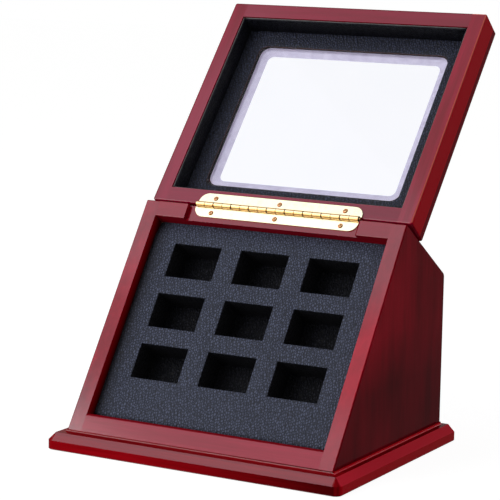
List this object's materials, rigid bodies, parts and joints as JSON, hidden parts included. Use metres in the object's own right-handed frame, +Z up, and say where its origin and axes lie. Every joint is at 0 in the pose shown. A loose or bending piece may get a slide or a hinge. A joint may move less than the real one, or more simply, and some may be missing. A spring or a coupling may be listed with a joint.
{
  "type": "slant-front display case",
  "caption": "Lacquered wooden display case with a sloping tray of pockets and a hinged, windowed lid that leans back open on a moulded plinth.",
  "frame": {"origin": "centre of the felt's underside, under the middle of the plinth", "axes": "+X to the right along the front, +Y to the back, +Z up"},
  "size_m": [0.2098, 0.2292, 0.2757],
  "materials": {
    "cherry_lacquer": "high gloss lacquer",
    "bare_wood": "sanded",
    "leatherette": "pebble grain, satin",
    "lid_leatherette": "pebble grain, satin",
    "foam": "matte",
    "felt": "matte",
    "polished_brass": "polished",
    "zinc_steel": "satin",
    "clear_pane": "clear"
  },
  "bodies": {
    "case": {"base_felt": "felt", "plinth_board": "cherry_lacquer", "left_side_panel": "cherry_lacquer", "right_side_panel": "cherry_lacquer", "front_sill": "cherry_lacquer", "front_header": "cherry_lacquer", "rear_slope_panel": "cherry_lacquer", "back_panel": "cherry_lacquer", "left_tray_ledge": "bare_wood", "right_tray_ledge": "bare_wood", "upper_tray_ledge": "bare_wood", "lower_tray_ledge": "bare_wood", "tray_cover": "leatherette", "tray_foam": "foam", "pocket_lining": "leatherette", "tray_back_board": "bare_wood", "plinth_screws": "zinc_steel", "frame_dowels": "bare_wood", "hinge_body_leaf": "polished_brass", "hinge_pin": "polished_brass", "hinge_body_screws": "polished_brass"},
    "lid": {"lid_left_rail": "cherry_lacquer", "lid_right_rail": "cherry_lacquer", "lid_front_rail": "cherry_lacquer", "lid_hinge_rail": "cherry_lacquer", "lid_top_panel": "cherry_lacquer", "window_pane": "clear_pane", "lid_liner_floor": "lid_leatherette", "lid_liner_left": "lid_leatherette", "lid_liner_right": "lid_leatherette", "lid_liner_front": "lid_leatherette", "lid_liner_hinge": "lid_leatherette", "lid_dowels": "bare_wood", "hinge_lid_leaf": "polished_brass", "hinge_lid_screws": "polished_brass"}
  },
  "joints": [
    {"name": "lid_hinge", "type": "hinge", "parent": "case", "child": "lid", "pos_m": [0.0015, 0.02299, 0.15007], "axis": [1, 0, 0], "range_deg": [0, 186.17]}
  ]
}
